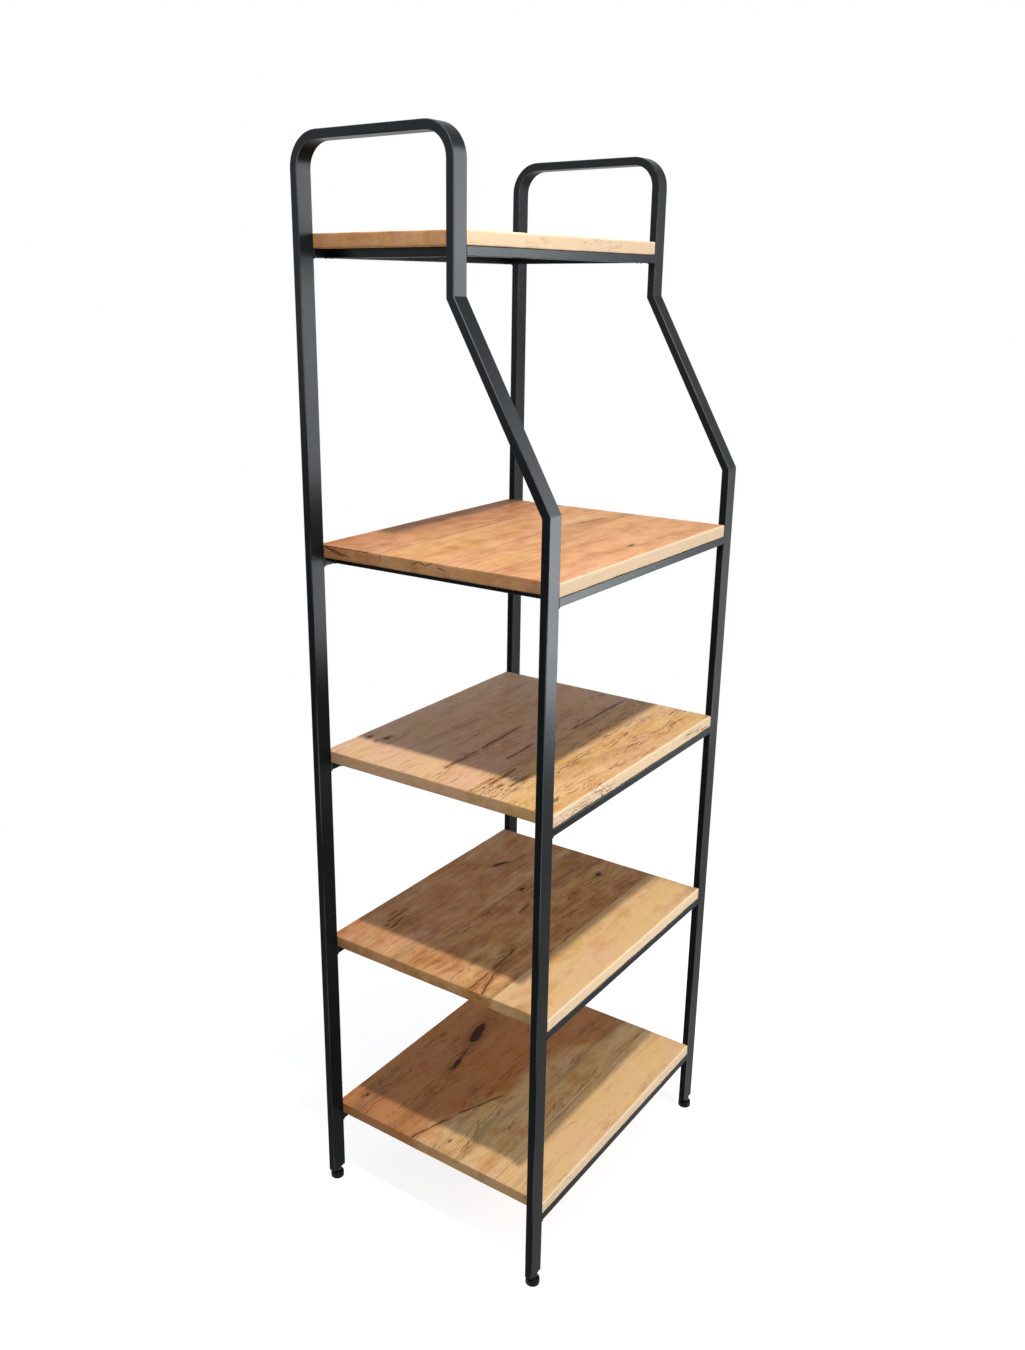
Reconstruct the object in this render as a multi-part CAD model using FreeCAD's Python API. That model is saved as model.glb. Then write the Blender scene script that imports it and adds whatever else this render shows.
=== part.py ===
import FreeCAD, Part
import math
import os

# An open kitchen rack: two side frames of flat steel tube, drawn in at the top by a slope,
# carry five wooden boards on welded rails, and stand on four screw-in levelling glides.
# Millimetres. +Z is up, the front looks towards -Y, and the origin is on the floor, mid-way.

# Side frames
width = 550.0              # over both side frames
depth = 412.0              # over the frames below the slope
slope_run = 146.0          # how far the top of the frame stands back from the front legs
tube_width = 28.0          # flat tube, wide face to the front
tube_thickness = 12.0
tube_wall = 1.2
tube_corner = 1.5
tube_inner_corner = 0.5
hoop_corner = 45.0         # outer radius of the two bent corners at the top

# Heights, each counted from the one before it
floor_to_bottom_board = 121.0
shelf_pitch = 320.0        # from one board to the next
board_to_bend = 86.0       # from the upper board's top face to the lower end of the slope
slope_rise = 256.0
bend_to_top_board = 61.0
top_board_to_hoop = 123.0  # from the top board's top face to the top of the hoops

# Rails and cross bars, square tube
bar_size = 12.0
bar_wall = 1.0
bar_corner = 1.0
bar_inner_corner = 0.4
bar_inset = 23.0           # from a leg's inner face to the nearest face of a cross bar

# Boards
board_thickness = 19.0
board_edge = 1.5           # rounding of every edge
board_side_gap = 0.5       # to the legs, at each end
board_setback = 0.5        # behind the frame's front face, and before its back face

# Board screws, driven upwards, with their heads inside the cross bars
screw_radius = 1.75
screw_hole_clearance = 0.25
screw_fit = 0.05           # between the screw and its pilot hole in the board
screw_cover = 5.0          # wood left above the point
screw_point = 4.0
screw_head_radius = 3.4
screw_head_height = 2.6
screw_head_round = 1.6
screw_access_gap = 0.5     # round the head, where it passes the bar's lower wall
screw_from_rail = 50.0     # from the rail's inner face to the screw
recess_span = 4.2          # cross recess in the head
recess_width = 1.0
recess_depth = 1.3

# Leg plugs, pressed into the lower ends of the legs
plug_flange = 2.0
plug_length = 20.0
plug_side_gap = 0.1
plug_corner = 0.4

# Levelling glides
pad_radius = 11.0
pad_base = 2.5             # under the stem's head
pad_cover = 5.4            # over the stem's head
pad_top_round = 3.0
pad_bottom_round = 1.5
pad_gap = 0.5              # between the pad and the hexagon
stem_head_radius = 5.0
stem_head_height = 3.0
stem_neck_radius = 3.5
hexagon_flats = 13.0
hexagon_height = 6.5
stud_radius = 3.0
stud_length = 20.0
stud_chamfer = 0.8
turning_clearance = 0.08   # round the stem's head and neck
head_top_clearance = 0.1
thread_clearance = 0.05

# Levels and places that follow from these
pad_height = pad_base + stem_head_height + head_top_clearance + pad_cover
hexagon_level = pad_height + pad_gap
plug_level = hexagon_level + hexagon_height
tube_level = plug_level + plug_flange
upper_board_level = floor_to_bottom_board + 3 * shelf_pitch
lower_bend_level = upper_board_level + board_thickness + board_to_bend
upper_bend_level = lower_bend_level + slope_rise
top_board_level = upper_bend_level + bend_to_top_board
hoop_level = top_board_level + board_thickness + top_board_to_hoop

front_face = -depth / 2
back_face = depth / 2
leg_inner_face = width / 2 - tube_width
leg_middle_x = width / 2 - tube_width / 2
front_leg_y = front_face + tube_thickness / 2
back_leg_y = back_face - tube_thickness / 2
upright_y = front_leg_y + slope_run
bar_middle_x = leg_inner_face - bar_inset - bar_size / 2

# Each shelf: its name, the level of the board's underside and the frame's front face there
shelves = (
    ("bottom", floor_to_bottom_board, front_face),
    ("lower", floor_to_bottom_board + shelf_pitch, front_face),
    ("middle", floor_to_bottom_board + 2 * shelf_pitch, front_face),
    ("upper", upper_board_level, front_face),
    ("top", top_board_level, front_face + slope_run),
)
sides = (("left", -1), ("right", 1))

point = FreeCAD.Vector
along_x = point(1, 0, 0)
upwards = point(0, 0, 1)


def rounded_rectangle(size_x, size_y, radius):
    """A face round the origin in the XY plane, with rounded corners."""
    corner_x = size_x / 2 - radius
    corner_y = size_y / 2 - radius
    corners = ((corner_x, corner_y), (-corner_x, corner_y), (-corner_x, -corner_y), (corner_x, -corner_y))
    arcs = []
    for quarter, (x, y) in enumerate(corners):
        arcs.append(Part.makeCircle(radius, point(x, y, 0), upwards, 90 * quarter, 90 * quarter + 90))
    edges = []
    for arc, next_arc in zip(arcs, arcs[1:] + arcs[:1]):
        edges += [arc, Part.makeLine(arc.valueAt(arc.LastParameter), next_arc.valueAt(next_arc.FirstParameter))]
    return Part.Face(Part.Wire(edges))


def tube_section(size_x, size_y, wall, corner, inner_corner):
    """The ring of metal that a hollow tube shows when it is cut across."""
    outer = rounded_rectangle(size_x, size_y, corner)
    return outer.cut(rounded_rectangle(size_x - 2 * wall, size_y - 2 * wall, inner_corner)).Faces[0]


def placed(section, place, direction):
    """A copy of a section at a place, facing along a direction."""
    moved = section.copy()
    moved.Placement = FreeCAD.Placement(place, FreeCAD.Rotation(upwards, direction))
    return moved


def straight(section, start, end):
    """A straight run of tube from one point to another."""
    return placed(section, start, end - start).extrude(end - start)


def bent(section, start, direction, centre):
    """A quarter bend of tube about a line along X through the centre."""
    return placed(section, start, direction).revolve(centre, along_x, 90)


def trimmed(solid, place, direction):
    """Cut away what lies beyond a plane, on the side that its direction points to."""
    block = 6 * max(tube_width, tube_thickness)
    waste = Part.makeBox(block, block, block, point(-block / 2, -block / 2, 0))
    waste.Placement = FreeCAD.Placement(place, FreeCAD.Rotation(upwards, direction))
    return solid.cut(waste)


def joined(pieces):
    """One clean solid from pieces that meet face to face."""
    return pieces[0].multiFuse(pieces[1:]).removeSplitter()


def side_frame(side):
    """The three tubes of one side frame: hoop, slope and front leg, mitred where they meet."""
    flat_tube = tube_section(tube_width, tube_thickness, tube_wall, tube_corner, tube_inner_corner)
    x = side * leg_middle_x
    foot = point(x, front_leg_y, tube_level)
    lower_bend = point(x, front_leg_y, lower_bend_level)
    upper_bend = point(x, upright_y, upper_bend_level)
    slope = (lower_bend - upper_bend).normalize()
    mitre = (slope - upwards).normalize()
    overrun = slope * tube_width

    # Back leg, hoop and short upright are one bent tube
    bend = hoop_corner - tube_thickness / 2
    level = hoop_level - tube_thickness / 2
    back_centre = point(x, back_leg_y - bend, level - bend)
    front_centre = point(x, upright_y + bend, level - bend)
    leg_top = point(x, back_leg_y, level - bend)
    top_back = point(x, back_leg_y - bend, level)
    top_front = point(x, upright_y + bend, level)
    upright_top = point(x, upright_y, level - bend)
    upright = straight(flat_tube, upright_top, upper_bend - upwards * tube_width)
    hoop = joined([
        straight(flat_tube, point(x, back_leg_y, tube_level), leg_top),
        bent(flat_tube, leg_top, upwards, back_centre),
        straight(flat_tube, top_back, top_front),
        bent(flat_tube, top_front, top_front - top_back, front_centre),
        trimmed(upright, upper_bend, mitre),
    ])

    slanted = straight(flat_tube, upper_bend - overrun, lower_bend + overrun)
    slanted = trimmed(trimmed(slanted, upper_bend, mitre * -1), lower_bend, mitre)
    front_leg = straight(flat_tube, foot, lower_bend + upwards * tube_width)
    front_leg = trimmed(front_leg, lower_bend, mitre * -1)
    return {"hoop_tube": hoop, "slope_tube": slanted, "front_leg": front_leg}


def screw_places(frame_front):
    """Where the four screws of a shelf stand, in plan."""
    rows = (frame_front + bar_size + screw_from_rail, back_face - bar_size - screw_from_rail)
    return [(side * bar_middle_x, y) for _, side in sides for y in rows]


def rails(level, frame_front):
    """The front and back rails of a shelf, between the legs."""
    square_tube = tube_section(bar_size, bar_size, bar_wall, bar_corner, bar_inner_corner)
    z = level - bar_size / 2
    made = {}
    for name, y in (("front_rail", frame_front + bar_size / 2), ("back_rail", back_face - bar_size / 2)):
        made[name] = straight(square_tube, point(-leg_inner_face, y, z), point(leg_inner_face, y, z))
    return made


def cross_bars(level, frame_front):
    """The two bars of a shelf that run from rail to rail, drilled for the board screws: a wide hole below
    lets a head in, and it seats on the upper wall."""
    square_tube = tube_section(bar_size, bar_size, bar_wall, bar_corner, bar_inner_corner)
    z = level - bar_size / 2
    made = {}
    for name, side in sides:
        x = side * bar_middle_x
        bar = straight(square_tube, point(x, frame_front + bar_size, z), point(x, back_face - bar_size, z))
        for screw_x, y in screw_places(frame_front):
            if screw_x == x:
                seat = point(x, y, level - bar_wall)
                bar = bar.cut(Part.makeCylinder(screw_radius + screw_hole_clearance, bar_wall, seat))
                access = point(x, y, level - bar_size)
                bar = bar.cut(Part.makeCylinder(screw_head_radius + screw_access_gap, bar_wall, access))
        made[name + "_cross_bar"] = bar
    return made


def board(level, frame_front):
    """A solid wooden board with rounded edges and blind pilot holes below."""
    half_length = leg_inner_face - board_side_gap
    start = point(-half_length, frame_front + board_setback, level)
    board_depth = back_face - frame_front - 2 * board_setback
    wood = Part.makeBox(2 * half_length, board_depth, board_thickness, start)
    wood = wood.makeFillet(board_edge, wood.Edges)
    for x, y in screw_places(frame_front):
        hole = point(x, y, level)
        depth_of_hole = board_thickness - screw_cover
        wood = wood.cut(Part.makeCylinder(screw_radius + screw_fit, depth_of_hole, hole))
    return wood


def screw():
    """A cross-recessed pan-head screw standing on the origin's plane, where its head seats."""
    shank = bar_wall + board_thickness - screw_cover - screw_point
    head = Part.makeCylinder(screw_head_radius, screw_head_height, point(0, 0, -screw_head_height))
    rim = [edge for edge in head.Edges if edge.BoundBox.ZMax < -screw_head_height / 2]
    head = head.makeFillet(screw_head_round, rim)
    for span_x, span_y in ((recess_span, recess_width), (recess_width, recess_span)):
        corner = point(-span_x / 2, -span_y / 2, -screw_head_height)
        head = head.cut(Part.makeBox(span_x, span_y, recess_depth, corner))
    stalk = Part.makeCylinder(screw_radius, shank)
    tip = Part.makeCone(screw_radius, 0, screw_point, point(0, 0, shank))
    return joined([head, stalk, tip])


def board_screws(level, frame_front):
    """The four screws that hold one board down."""
    made = []
    for x, y in screw_places(frame_front):
        fastener = screw()
        fastener.translate(point(x, y, level - bar_wall))
        made.append(fastener)
    return Part.makeCompound(made)


def leg_plug(x, y):
    """A threaded plastic plug: a flange under the leg and a body inside it."""
    flange = rounded_rectangle(tube_width, tube_thickness, tube_corner).extrude(upwards * plug_flange)
    inside = 2 * (tube_wall + plug_side_gap)
    body = rounded_rectangle(tube_width - inside, tube_thickness - inside, plug_corner)
    body = body.extrude(upwards * plug_length)
    body.translate(upwards * plug_flange)
    plug = joined([flange, body])
    thread = Part.makeCylinder(stud_radius + thread_clearance, plug_flange + plug_length)
    plug = plug.cut(thread)
    plug.translate(point(x, y, plug_level))
    return plug


def glide_stem(x, y):
    """The steel stem of a glide: captive head, neck, hexagon for a spanner, and threaded stud."""
    head = Part.makeCylinder(stem_head_radius, stem_head_height, point(0, 0, pad_base))
    neck_start = pad_base + stem_head_height
    neck = Part.makeCylinder(stem_neck_radius, hexagon_level - neck_start, point(0, 0, neck_start))
    corner_radius = hexagon_flats / 2 / math.cos(math.radians(30))
    corners = []
    for step in range(7):
        angle = math.radians(60 * step)
        corners.append(point(corner_radius * math.cos(angle), corner_radius * math.sin(angle), hexagon_level))
    hexagon = Part.Face(Part.makePolygon(corners)).extrude(upwards * hexagon_height)
    stud = Part.makeCylinder(stud_radius, stud_length, point(0, 0, plug_level))
    end = [edge for edge in stud.Edges if edge.BoundBox.ZMin > plug_level + stud_length / 2]
    stud = stud.makeChamfer(stud_chamfer, end)
    stem = joined([head, neck, hexagon, stud])
    stem.translate(point(x, y, 0))
    return stem


def glide_pad(x, y):
    """The rounded plastic pad that stands on the floor and holds the stem's head."""
    pad = Part.makeCylinder(pad_radius, pad_height)
    rims = [edge for edge in pad.Edges if edge.BoundBox.ZLength < pad_height / 2]
    upper = [edge for edge in rims if edge.BoundBox.ZMin > pad_height / 2]
    pad = pad.makeFillet(pad_top_round, upper)
    lower = [edge for edge in pad.Edges if edge.BoundBox.ZMax < pad_height / 4]
    pad = pad.makeFillet(pad_bottom_round, lower)
    pocket_height = stem_head_height + head_top_clearance
    pocket = Part.makeCylinder(stem_head_radius + turning_clearance, pocket_height, point(0, 0, pad_base))
    throat_start = point(0, 0, pad_base + pocket_height)
    throat = Part.makeCylinder(stem_neck_radius + turning_clearance, pad_cover, throat_start)
    pad = pad.cut(pocket).cut(throat)
    pad.translate(point(x, y, 0))
    return pad


def rack():
    """Every piece of the rack, by name."""
    pieces = {}
    for side_name, side in sides:
        for name, tube in side_frame(side).items():
            pieces[side_name + "_" + name] = tube
    for shelf, level, frame_front in shelves:
        for name, rail in rails(level, frame_front).items():
            pieces[shelf + "_" + name] = rail
        for name, bar in cross_bars(level, frame_front).items():
            pieces[shelf + "_" + name] = bar
        pieces[shelf + "_board"] = board(level, frame_front)
        pieces[shelf + "_board_screws"] = board_screws(level, frame_front)
    for row_name, y in (("front", front_leg_y), ("back", back_leg_y)):
        for side_name, side in sides:
            corner = row_name + "_" + side_name
            x = side * leg_middle_x
            pieces[corner + "_leg_plug"] = leg_plug(x, y)
            pieces[corner + "_glide_stem"] = glide_stem(x, y)
            pieces[corner + "_glide_pad"] = glide_pad(x, y)
    return pieces


os.makedirs("parts", exist_ok=True)
for node, shape in rack().items():
    shape.exportStep("parts/" + node + ".step")
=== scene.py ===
import math

import bpy
import numpy as np
from mathutils import Matrix, Vector


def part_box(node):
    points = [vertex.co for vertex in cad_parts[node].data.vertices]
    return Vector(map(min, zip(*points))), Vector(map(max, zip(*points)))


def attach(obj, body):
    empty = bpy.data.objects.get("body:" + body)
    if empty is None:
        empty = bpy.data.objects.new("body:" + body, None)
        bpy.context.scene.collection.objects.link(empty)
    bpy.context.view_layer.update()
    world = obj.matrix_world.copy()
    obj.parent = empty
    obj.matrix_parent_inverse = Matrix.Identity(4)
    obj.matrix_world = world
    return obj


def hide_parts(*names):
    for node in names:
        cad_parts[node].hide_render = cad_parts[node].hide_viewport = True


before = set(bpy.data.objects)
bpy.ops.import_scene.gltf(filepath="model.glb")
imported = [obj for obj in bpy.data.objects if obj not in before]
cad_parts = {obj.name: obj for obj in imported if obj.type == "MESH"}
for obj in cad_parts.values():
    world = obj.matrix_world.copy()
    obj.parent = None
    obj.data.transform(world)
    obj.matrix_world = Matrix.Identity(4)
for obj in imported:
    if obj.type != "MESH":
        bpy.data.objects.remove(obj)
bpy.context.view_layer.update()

bl_info = {
    "name": "Kitchen rack",
    "version": (1, 0, 0),
    "blender": (4, 5, 0),
    "location": "3D View > Sidebar > Rack",
    "description": "Dresses an open kitchen rack: mango boards, black tube frame, welds and levelling glides",
    "category": "Object",
}

MM = 0.001
IMAGE_WIDTH = 1025
IMAGE_HEIGHT = 1350
SHELVES = ("bottom", "lower", "middle", "upper", "top")
SIDES = ("left", "right")
CORNERS = ("front_left", "front_right", "back_left", "back_right")

# The CAD nodes that wear the powder coat
TUBES = [f"{side}_{name}" for side in SIDES for name in ("hoop_tube", "slope_tube", "front_leg")]
BARS = [
    f"{shelf}_{name}" for shelf in SHELVES
    for name in ("front_rail", "back_rail", "left_cross_bar", "right_cross_bar")]

# Kinds of node that the materials use again and again
MATH = "ShaderNodeMath"
VECTOR = "ShaderNodeVectorMath"
NOISE = "ShaderNodeTexNoise"
RANGE = "ShaderNodeMapRange"
MIX = "ShaderNodeMix"
PLACE = "ShaderNodeTexCoord"
SHADER = "ShaderNodeBsdfPrincipled"
SURFACE = "ShaderNodeOutputMaterial"
# Number of the output that a Mix node gives colours on
MIXED_COLOUR = 2

# What a board's material reads at each corner of its mesh, beside the grain's own coordinates
MARKS = (
    "tone", "pinkness", "flecks", "knot", "seam", "heart", "end_grain", "painted_front_light", "left_end", "arris")

# Sides of a board, as numbered by lattice_skin
LEFT_END = 0
RIGHT_END = 1
FRONT_EDGE = 2

# Swirls that bend the grain: their length and breadth in millimetres, and how far they bend it
SWIRLS = ((190, 60, 30), (60, 22, 6))

# Patterns along the grain: how long and how broad each is in millimetres, and its detail. Pores are finer in
# the real wood than here, where they have to show from a step away.
PATTERNS = {
    "streak": (300, 34, 3),
    "mottle": (38, 22, 4),
    "blush": (130, 45, 2),
    "smoke": (260, 26, 3),
    "uneven": (90, 10, 2),
    "fibre": (60, 2.0, 3),
    "band": (150, 20, 2),
    "pore": (16, 1.6, 1),
    "dash": (42, 1.7, 2),
    "ragged": (10, 5, 3),
}

# Millimetres along the tree from one plank to the next, and from one board to the next
PLANK_STEP = 730
BOARD_STEP = 1900
# Millimetres from the pith up to a board's underside, before each plank's own share
PITH_DEPTH = 60

# How much the sanded rounding of a board's edges varies
UNEVENNESS = 0.14
# Distance, in knots' own radii, given where no knot is near
FAR_FROM_KNOTS = 4.0
# How far round a knot the grain gives way, in its half lengths and half breadths, and how much of the way
FLOW_LENGTH = 3
FLOW_BREADTH = 4
FLOW_SHARE = 0.9
# Waves of the heartwood's border, as height, length and phase, and its softness, in millimetres
HEART_WAVES = ((9, 41, 0), (5, 17, 1))
HEART_SOFTNESS = 5
# How deep a knot is sunk, and a crack for each millimetre of its width
KNOT_DEPTH = 0.35 * MM
CRACK_DEPTH = 0.2 * MM
# Millimetres beside a crack over which the wood falls away
CRACK_SPREAD = 4

# Rings of mesh points in one turn of a thread
RINGS_PER_TURN = 8
# Seed of the weld drops' uneven sizes
WELD_SEED = 7

# What each board shows, in millimetres on the board: X to the right, Y to the back.
# figure: how strongly the wood is streaked and clouded
# seams: where two planks meet
# planks, from the front: tone from 0 dark to 1 pale, colour from 0 golden to 1 pink, flecks from 0 to 1
# knots: place, half length, half breadth, turn in degrees
# cracks: start, end, width, wander
# end_cracks: the same on the left end, as Y and the height above the underside
# hearts: where the redder heartwood starts at the left end and at the right end, and how red it is
BOARDS = {
    "bottom": {
        "figure": 1.15,
        "seams": (-118,),
        "planks": ((0.78, 0.35, 0.30), (0.71, 0.30, 0.75)),
        "knots": ((50, 127, 40, 10, 14), (-45, 104, 20, 5, 10), (-216, -8, 4, 2, 0), (-205, 176, 6, 2.5, 0)),
        "cracks": (
            ((-258, 52), (-150, 20), 1.8, 3.0),
            ((-160, 23), (-52, -19), 1.6, 3.0),
            ((10, 116), (-84, 96), 1.6, 2.0),
        ),
        "end_cracks": (),
        "hearts": ((40, -75, 0.85),),
    },
    "lower": {
        "figure": 1.05,
        "seams": (-108, 52),
        "planks": ((0.72, 0.35, 0.05), (0.52, 0.35, 0.80), (0.56, 0.60, 0.45)),
        "knots": (
            (-172, 153, 5, 2, 0), (62, 43, 8, 4, 0), (188, -37, 10, 5, 0), (118, 128, 14, 4, -25),
        ),
        "cracks": (
            ((-258, -66), (-175, -64), 1.7, 2.5),
            ((-185, -64), (-88, -55), 1.8, 2.5),
            ((-258, -95), (-172, -67), 1.5, 2.0),
            ((-180, 140), (-125, 150), 1.5, 3.0),
            ((-168, 158), (-96, 162), 1.5, 3.0),
            ((-150, 172), (-118, 170), 1.3, 2.5),
            ((-14, 0), (36, 4), 1.6, 1.5),
            ((98, 134), (144, 116), 2.4, 1.0),
        ),
        "end_cracks": (),
        "hearts": ((118, 66, 0.30),),
    },
    "middle": {
        "figure": 0.85,
        "seams": (-62, 107),
        "planks": ((0.69, 0.30, 1.00), (0.74, 0.75, 0.55), (0.74, 0.80, 0.35)),
        "knots": ((-152, 162, 8, 4, 0), (-164, 188, 5, 3, 0), (-172, 168, 4, 2, 0)),
        "cracks": (
            ((-206, 14), (-90, 17), 1.8, 2.0),
            ((-110, 15), (44, 24), 2.2, 2.5),
            ((-218, -74), (-128, -72), 1.8, 2.0),
            ((-204, -101), (-126, -101), 1.8, 1.5),
            ((-120, -40), (-16, -36), 1.6, 2.0),
            ((40, -52), (258, -50), 2.0, 3.0),
        ),
        "end_cracks": (),
        "hearts": (),
    },
    "upper": {
        "figure": 0.6,
        "seams": (-96, 92),
        "planks": ((0.53, 0.75, 0.05), (0.55, 0.60, 0.15), (0.46, 0.85, 0.15)),
        "knots": ((18, -163, 8, 3, 0),),
        "cracks": (((110, -12), (205, -27), 1.4, 1.5),),
        "end_cracks": (
            ((206, 18.0), (86, 18.5), 1.9, 1.2), ((198, 17.0), (140, 5.0), 1.8, 2.0),
            ((184, 12.0), (150, 4.0), 1.1, 1.5), ((91, 19.0), (88, 5.0), 1.1, 1.0),
            ((32, 11.0), (20, 19.0), 1.0, 1.6), ((22, 18.0), (8, 11.0), 1.0, 1.6),
            ((12, 11.0), (-6, 19.0), 1.0, 1.6), ((-10, 13.0), (-26, 9.0), 1.0, 1.6),
        ),
        "hearts": ((150, 118, 0.25),),
    },
    "top": {
        "figure": 0.7,
        "seams": (60,),
        "planks": ((0.59, 0.60, 0.25), (0.57, 0.55, 0.30)),
        "knots": ((90, 20, 10, 4, 0),),
        "cracks": (((60, 96), (150, 104), 1.5, 1.5),),
        "end_cracks": (),
        "hearts": ((150, 150, 0.25),),
    },
}


def linear(hex_colour):
    """An sRGB hex colour as linear red, green and blue."""
    made = []
    for start in (1, 3, 5):
        value = int(hex_colour[start:start + 2], 16) / 255
        made.append(value / 12.92 if value <= 0.04045 else ((value + 0.055) / 1.055) ** 2.4)
    return tuple(made)


def opaque(colour):
    """A colour with full alpha."""
    return (*colour, 1.0)


def node(tree, kind, inputs=None, output=0, stops=(), **settings):
    """Add a node with its settings and give one of its outputs, or all of them where output is None.
    An input, by name, identifier or number, takes a value or a link."""
    made = tree.nodes.new(kind)
    for key, value in settings.items():
        setattr(made, key, value)
    for key, value in (inputs or {}).items():
        socket = made.inputs[key] if isinstance(key, int) else None
        socket = socket or next(s for s in made.inputs if key in (s.identifier, s.name))
        if isinstance(value, bpy.types.NodeSocket):
            tree.links.new(value, socket)
        else:
            socket.default_value = value
    for number, (place, colour) in enumerate(stops):
        elements = made.color_ramp.elements
        stop = elements[number] if number < 2 else elements.new(place)
        stop.position = place
        stop.color = colour
    return made.outputs if output is None else made.outputs[output]


def new_material(name):
    """An empty node material, and its tree."""
    material = bpy.data.materials.new(name)
    material.use_nodes = True
    material.node_tree.nodes.clear()
    return material, material.node_tree


def dress(node_name, material):
    """Give a CAD node its finish."""
    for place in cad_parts[node_name].material_slots:
        place.material = material


def new_object(name, data):
    """A new object at the origin."""
    made = bpy.data.objects.new(name, data)
    bpy.context.scene.collection.objects.link(made)
    return made


class RackWood(bpy.types.PropertyGroup):
    """Colours and sizes of the boards"""
    dark: bpy.props.FloatVectorProperty(
        name="Dark", description="The darkest late wood", subtype="COLOR", default=linear("#86593a"))
    brown: bpy.props.FloatVectorProperty(
        name="Brown", description="Denser late wood", subtype="COLOR", default=linear("#b88353"))
    tan: bpy.props.FloatVectorProperty(
        name="Tan", description="The wood's main colour", subtype="COLOR", default=linear("#dcab7a"))
    pale: bpy.props.FloatVectorProperty(
        name="Pale", description="Sapwood", subtype="COLOR", default=linear("#ecca9e"))
    golden: bpy.props.FloatVectorProperty(
        name="Golden tint", description="Tint of a golden plank", subtype="COLOR", default=linear("#fcf7d2"))
    pink: bpy.props.FloatVectorProperty(
        name="Pink tint", description="Tint of a pink plank", subtype="COLOR", default=linear("#fff3fa"))
    heart: bpy.props.FloatVectorProperty(
        name="Heartwood", description="Red-brown of the heartwood", subtype="COLOR",
        default=linear("#b4652f"))
    smoke: bpy.props.FloatVectorProperty(
        name="Grey streak", description="Grey-brown stained streaks", subtype="COLOR",
        default=linear("#7a6150"))
    fleck: bpy.props.FloatVectorProperty(
        name="Fleck", description="Open pores and short dark flecks", subtype="COLOR",
        default=linear("#763d19"))
    # Painted light: the front edges' colour is paler, standing in for the light and sheen that they catch
    painted_front_light: bpy.props.FloatVectorProperty(
        name="Painted front light", description="Painted light on the front edges", subtype="COLOR", default=linear("#ead4b4"))
    # Painted highlight along the top front arris, for the light that its rounding catches
    rounded_arris: bpy.props.FloatVectorProperty(
        name="Painted arris highlight", description="Painted highlight along the top front arris", subtype="COLOR",
        default=linear("#fdeccb"))
    crack: bpy.props.FloatVectorProperty(
        name="Crack", description="The depth of a drying crack", subtype="COLOR", default=linear("#632d14"))
    knot: bpy.props.FloatVectorProperty(
        name="Knot", description="The heart of a knot", subtype="COLOR", default=linear("#3a1f14"))
    step: bpy.props.FloatProperty(
        name="Mesh step", description="Size of a board's mesh cells", unit="LENGTH", default=3 * MM)
    edge: bpy.props.FloatProperty(
        name="Edge rounding", description="Sanded rounding of a board's edges", unit="LENGTH",
        default=1.5 * MM)
    # How far that painted highlight reaches from the arris
    arris: bpy.props.FloatProperty(
        name="Arris width", description="How far the painted highlight reaches from the front arris", unit="LENGTH",
        default=2.5 * MM)
    groove: bpy.props.FloatProperty(
        name="Seam width", description="Width of the groove between two planks", unit="LENGTH",
        default=1.8 * MM)
    groove_depth: bpy.props.FloatProperty(
        name="Seam depth", description="Depth of that groove", unit="LENGTH", default=0.4 * MM)
    ring: bpy.props.FloatProperty(
        name="Ring spacing", description="Distance between growth rings", unit="LENGTH", default=9 * MM)


class RackSteel(bpy.types.PropertyGroup):
    """Finish and welds of the frame"""
    coat: bpy.props.FloatVectorProperty(
        name="Coat", description="Black powder coat", subtype="COLOR", default=linear("#121516"))
    dusty: bpy.props.FloatVectorProperty(
        name="Dusty coat", description="The coat where it looks greyer", subtype="COLOR",
        default=linear("#1a1e20"))
    # Painted highlight: colour for the tubes' rounded corners, standing in for the glint of light along them
    corner_highlight: bpy.props.FloatVectorProperty(
        name="Corner highlight", description="Painted highlight on the coat's rounded corners", subtype="COLOR",
        default=linear("#7b8286"))
    # How strongly that painted highlight shows
    corner_highlight_strength: bpy.props.FloatProperty(
        name="Highlight strength", description="How strongly the painted highlight shows on the corners", subtype="FACTOR",
        min=0, max=1, default=0.5)
    roughness: bpy.props.FloatProperty(
        name="Roughness", description="Satin gloss of the coat", subtype="FACTOR", min=0, max=1, default=0.28)
    peel: bpy.props.FloatProperty(
        name="Orange peel", description="Size of the coat's ripples", unit="LENGTH", default=2.5 * MM)
    bead: bpy.props.FloatProperty(
        name="Weld bead", description="Radius of a weld bead", unit="LENGTH", default=1.5 * MM)
    ripple: bpy.props.FloatProperty(
        name="Weld ripple", description="Distance between a bead's ripples", unit="LENGTH", default=1.0 * MM)


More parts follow.
